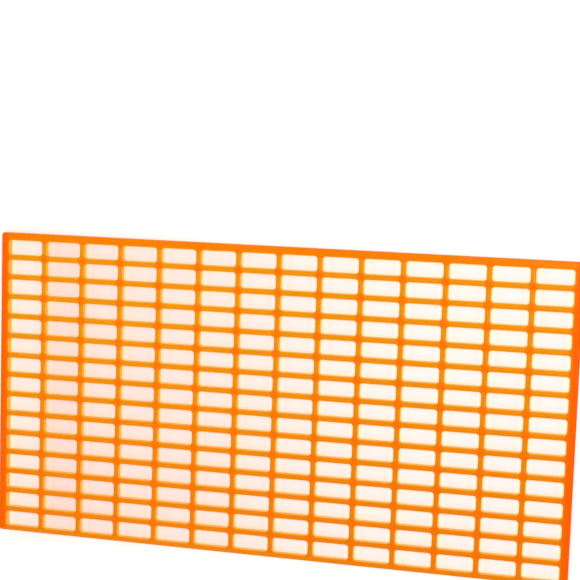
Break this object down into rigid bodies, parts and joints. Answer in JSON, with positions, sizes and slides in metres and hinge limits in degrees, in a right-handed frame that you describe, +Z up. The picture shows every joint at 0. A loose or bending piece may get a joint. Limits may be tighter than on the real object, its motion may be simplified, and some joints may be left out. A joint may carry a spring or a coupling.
{
  "type": "queen excluder",
  "caption": "Flat orange plastic lattice of long narrow slots in a rim, laid in a beehive: worker bees pass through it and the queen does not.",
  "frame": {"origin": "middle of the outline, in the plane of the rims' undersides, which is the face the lattice rests on", "axes": "+X along the slots and the long side, +Y across the slots towards the wider top rim, +Z up, out of the face where bars and rims are flush"},
  "size_m": [0.1634, 0.0868, 0.0024],
  "materials": {
    "rim_plastic": "satin moulded polypropylene, deep orange where it is thick",
    "bar_plastic": "satin moulded polypropylene, lighter orange where it is thin"
  },
  "bodies": {
    "root": {"left_rim": "rim_plastic", "right_rim": "rim_plastic", "top_rim": "rim_plastic", "bottom_rim": "rim_plastic", "slot_bar_01": "bar_plastic", "slot_bar_02": "bar_plastic", "slot_bar_03": "bar_plastic", "slot_bar_04": "bar_plastic", "slot_bar_05": "bar_plastic", "slot_bar_06": "bar_plastic", "slot_bar_07": "bar_plastic", "slot_bar_08": "bar_plastic", "slot_bar_09": "bar_plastic", "slot_bar_10": "bar_plastic", "slot_bar_11": "bar_plastic", "slot_bar_12": "bar_plastic", "slot_bar_13": "bar_plastic", "slot_bar_14": "bar_plastic", "cross_bar_01": "bar_plastic", "cross_bar_02": "bar_plastic", "cross_bar_03": "bar_plastic", "cross_bar_04": "bar_plastic", "cross_bar_05": "bar_plastic", "cross_bar_06": "bar_plastic", "cross_bar_07": "bar_plastic", "cross_bar_08": "bar_plastic", "cross_bar_09": "bar_plastic", "cross_bar_10": "bar_plastic", "cross_bar_11": "bar_plastic", "cross_bar_12": "bar_plastic", "cross_bar_13": "bar_plastic"}
  },
  "joints": []
}
